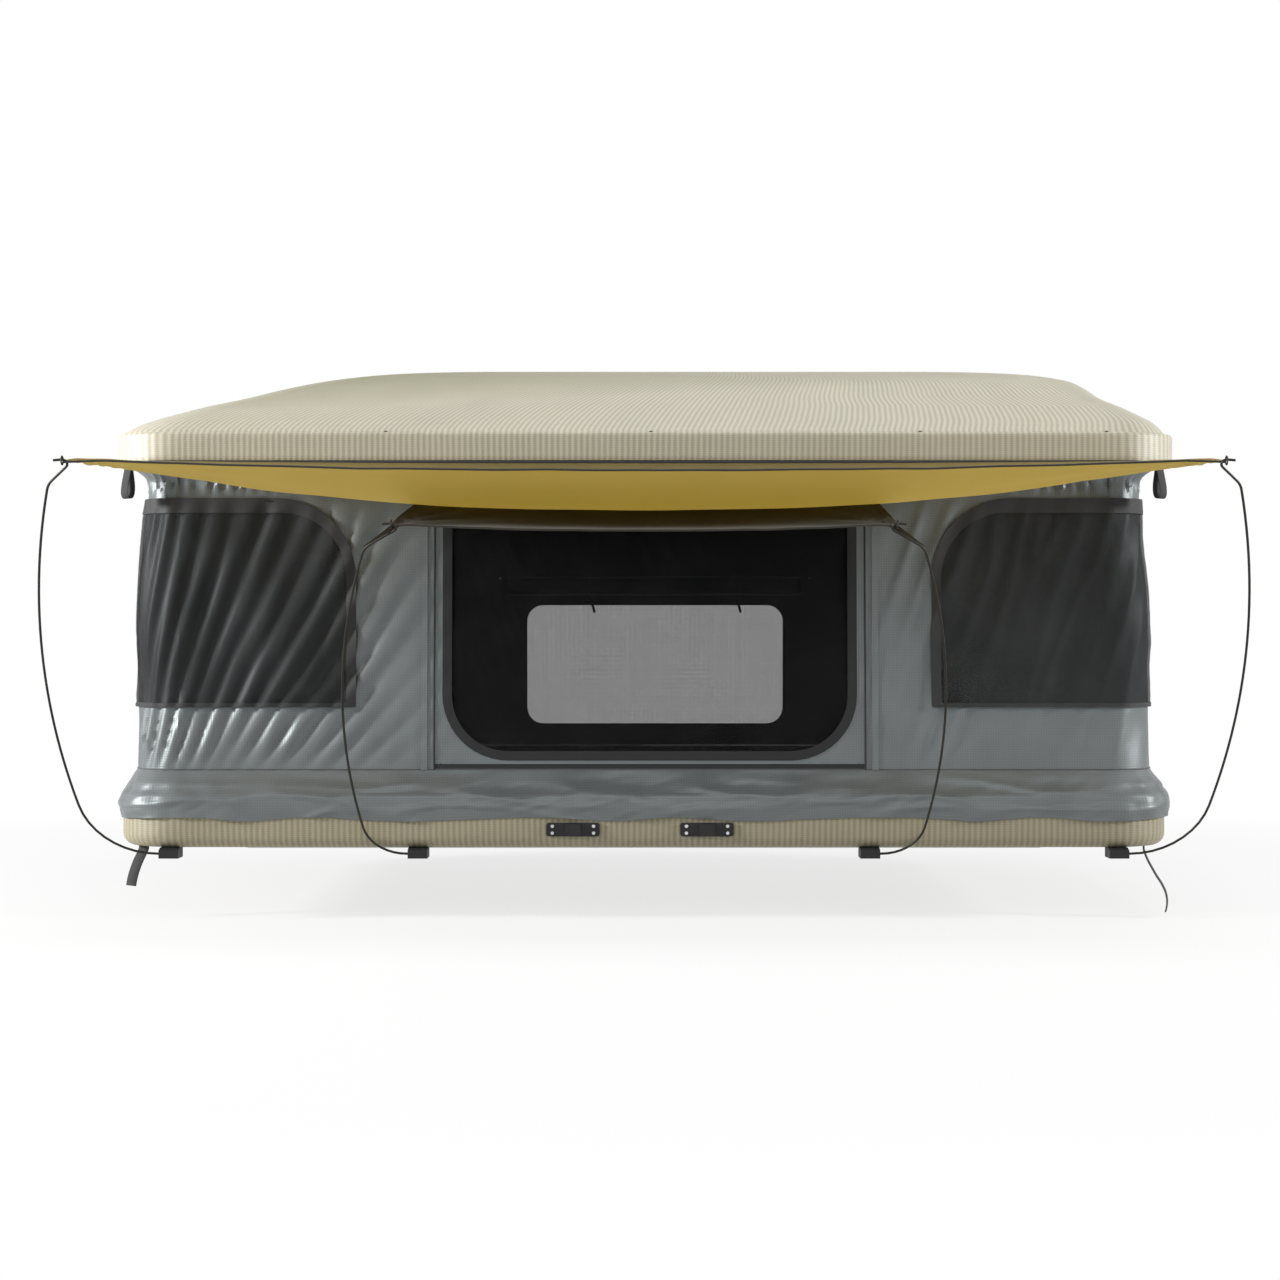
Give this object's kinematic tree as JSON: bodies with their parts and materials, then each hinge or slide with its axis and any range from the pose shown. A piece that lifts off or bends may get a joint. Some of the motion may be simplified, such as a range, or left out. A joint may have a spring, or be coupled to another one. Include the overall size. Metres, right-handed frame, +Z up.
{
  "type": "roof top tent",
  "caption": "Hard-shell roof top tent that lifts on end scissors, with cloth walls, mesh door and windows, a long awning, a door awning and bent awning poles.",
  "frame": {"origin": "centre of the four roof-bar slots, on the underside of the mounting rails", "axes": "+X along the length, -Y towards the door and awnings, +Z up"},
  "size_m": [2.3424, 1.7938, 1.1462],
  "materials": {
    "base_moulding": "embossed tan moulding",
    "lid_moulding": "embossed tan moulding",
    "plywood": "plain plywood",
    "mattress_cover": "woven cover",
    "aluminium": "mill finish",
    "steel": "zinc plated",
    "black_plastic": "matt black",
    "nylon": "black nylon",
    "black_paint": "black gas-strut tube",
    "rubber": "matt rubber",
    "liner": "felted head liner",
    "webbing": "woven webbing",
    "wall_cloth": "silver-grey coated cloth with a sheen",
    "mesh_cloth": "black insect mesh",
    "zip_tape": "black zip tape",
    "awning_cloth": "coated gold-tan cloth",
    "door_awning_cloth": "dark tan coated cloth"
  },
  "bodies": {
    "base": {"base_shell": "base_moulding", "floor_panel": "plywood", "mattress": "mattress_cover", "mounting_rail_front": "aluminium", "mounting_rail_rear": "aluminium", "rail_end_caps": "black_plastic", "rail_bolts": "steel", "base_pivots": "steel", "base_tracks": "aluminium", "strut_feet": "steel", "ladder_bracket_left": "black_plastic", "ladder_bracket_right": "black_plastic", "bracket_screws": "steel", "pole_sockets": "black_plastic", "closing_strap_left": "webbing", "closing_strap_right": "webbing", "front_wall_left": "wall_cloth", "front_wall_right": "wall_cloth", "front_header": "wall_cloth", "rear_wall": "wall_cloth", "end_wall_left": "wall_cloth", "end_wall_right": "wall_cloth", "skirt": "wall_cloth", "window_mesh_left": "mesh_cloth", "window_mesh_right": "mesh_cloth", "door_mesh": "mesh_cloth", "door_zips": "zip_tape", "rear_window_mesh": "mesh_cloth", "rear_flap": "mesh_cloth", "flap_toggles": "black_plastic"},
    "lid": {"lid_shell": "lid_moulding", "lid_frame": "aluminium", "lid_liner": "liner", "lid_seal": "rubber", "lid_rivets": "steel", "lid_crossbars": "aluminium", "lid_tracks": "aluminium", "lid_pivots": "steel", "lid_loop_left": "webbing", "lid_loop_right": "webbing", "main_awning": "awning_cloth", "door_awning": "door_awning_cloth"},
    "lift_left": {"lift_arm_left": "aluminium", "lift_fittings_left": "nylon"},
    "cross_left": {"cross_arm_left": "aluminium", "cross_glide_left": "nylon"},
    "strut_tube_left": {"strut_cylinder_left": "black_paint"},
    "strut_piston_left": {"strut_rod_left": "steel"},
    "lift_right": {"lift_arm_right": "aluminium", "lift_fittings_right": "nylon"},
    "cross_right": {"cross_arm_right": "aluminium", "cross_glide_right": "nylon"},
    "strut_tube_right": {"strut_cylinder_right": "black_paint"},
    "strut_piston_right": {"strut_rod_right": "steel"},
    "pole_outer_left": {"pole_outer_left": "steel"},
    "pole_inner_left": {"pole_inner_left": "steel"},
    "pole_inner_right": {"pole_inner_right": "steel"},
    "pole_outer_right": {"pole_outer_right": "steel"}
  },
  "joints": [
    {"name": "lid_lift", "type": "hinge", "parent": "base", "child": "lift_left", "pos_m": [-1.004, 0.49878, 0.06199], "axis": [-1, 0, 0], "range_deg": [-48, 0], "stiffness_Nm_per_rad": 120, "springref_deg": 120.32, "deforming": ["front_wall_left", "front_wall_right", "front_header", "rear_wall", "end_wall_left", "end_wall_right", "skirt", "window_mesh_left", "window_mesh_right", "door_mesh", "door_zips", "rear_window_mesh", "rear_flap", "flap_toggles", "main_awning", "door_awning"]},
    {"name": "cross_turn_left", "type": "hinge", "parent": "lift_left", "child": "cross_left", "pos_m": [-1, 0.19095, 0.45599], "axis": [1, 0, 0], "range_deg": [-96, 0]},
    {"name": "lid_level", "type": "hinge", "parent": "cross_left", "child": "lid", "pos_m": [-0.996, 0.49878, 0.85], "axis": [1, 0, 0], "range_deg": [0, 48]},
    {"name": "lift_turn_right", "type": "hinge", "parent": "base", "child": "lift_right", "pos_m": [1.004, 0.49878, 0.06199], "axis": [-1, 0, 0], "range_deg": [-48, 0]},
    {"name": "cross_turn_right", "type": "hinge", "parent": "lift_right", "child": "cross_right", "pos_m": [1, 0.19095, 0.45599], "axis": [1, 0, 0], "range_deg": [-96, 0]},
    {"name": "strut_swing_left", "type": "hinge", "parent": "base", "child": "strut_tube_left", "pos_m": [-0.9895, 0.04878, 0.06199], "axis": [1, 0, 0], "range_deg": [-16.34, 0]},
    {"name": "strut_slide_left", "type": "slide", "parent": "strut_tube_left", "child": "strut_piston_left", "axis": [0, 0.9495, 0.3138], "range_m": [-0.0763, 0]},
    {"name": "strut_swing_right", "type": "hinge", "parent": "base", "child": "strut_tube_right", "pos_m": [0.9895, 0.04878, 0.06199], "axis": [1, 0, 0], "range_deg": [-16.34, 0]},
    {"name": "strut_slide_right", "type": "slide", "parent": "strut_tube_right", "child": "strut_piston_right", "axis": [0, 0.9495, 0.3138], "range_m": [-0.0763, 0]},
    {"name": "pole_outer_left_swing", "type": "hinge", "parent": "base", "child": "pole_outer_left", "pos_m": [-0.968, -0.64, 0.01], "axis": [1, 0, 0], "range_deg": [-10, 50]},
    {"name": "pole_inner_left_swing", "type": "hinge", "parent": "base", "child": "pole_inner_left", "pos_m": [-0.461, -0.64, 0.01], "axis": [1, 0, 0], "range_deg": [-5, 50]},
    {"name": "pole_inner_right_swing", "type": "hinge", "parent": "base", "child": "pole_inner_right", "pos_m": [0.461, -0.64, 0.01], "axis": [1, 0, 0], "range_deg": [-5, 50]},
    {"name": "pole_outer_right_swing", "type": "hinge", "parent": "base", "child": "pole_outer_right", "pos_m": [0.968, -0.64, 0.01], "axis": [1, 0, 0], "range_deg": [-10, 50]}
  ],
  "couplings": [
    {"joint": "cross_turn_left", "follows": "lid_lift", "ratio": 2},
    {"joint": "lid_level", "follows": "lid_lift", "ratio": -1},
    {"joint": "lift_turn_right", "follows": "lid_lift", "ratio": 1},
    {"joint": "cross_turn_right", "follows": "lid_lift", "ratio": 2},
    {"joint": "strut_swing_left", "follows": "lid_lift", "ratio": 0.33944},
    {"joint": "strut_slide_left", "follows": "lid_lift", "m_per_rad": 0.090873},
    {"joint": "strut_swing_right", "follows": "lid_lift", "ratio": 0.33944},
    {"joint": "strut_slide_right", "follows": "lid_lift", "m_per_rad": 0.090873}
  ]
}
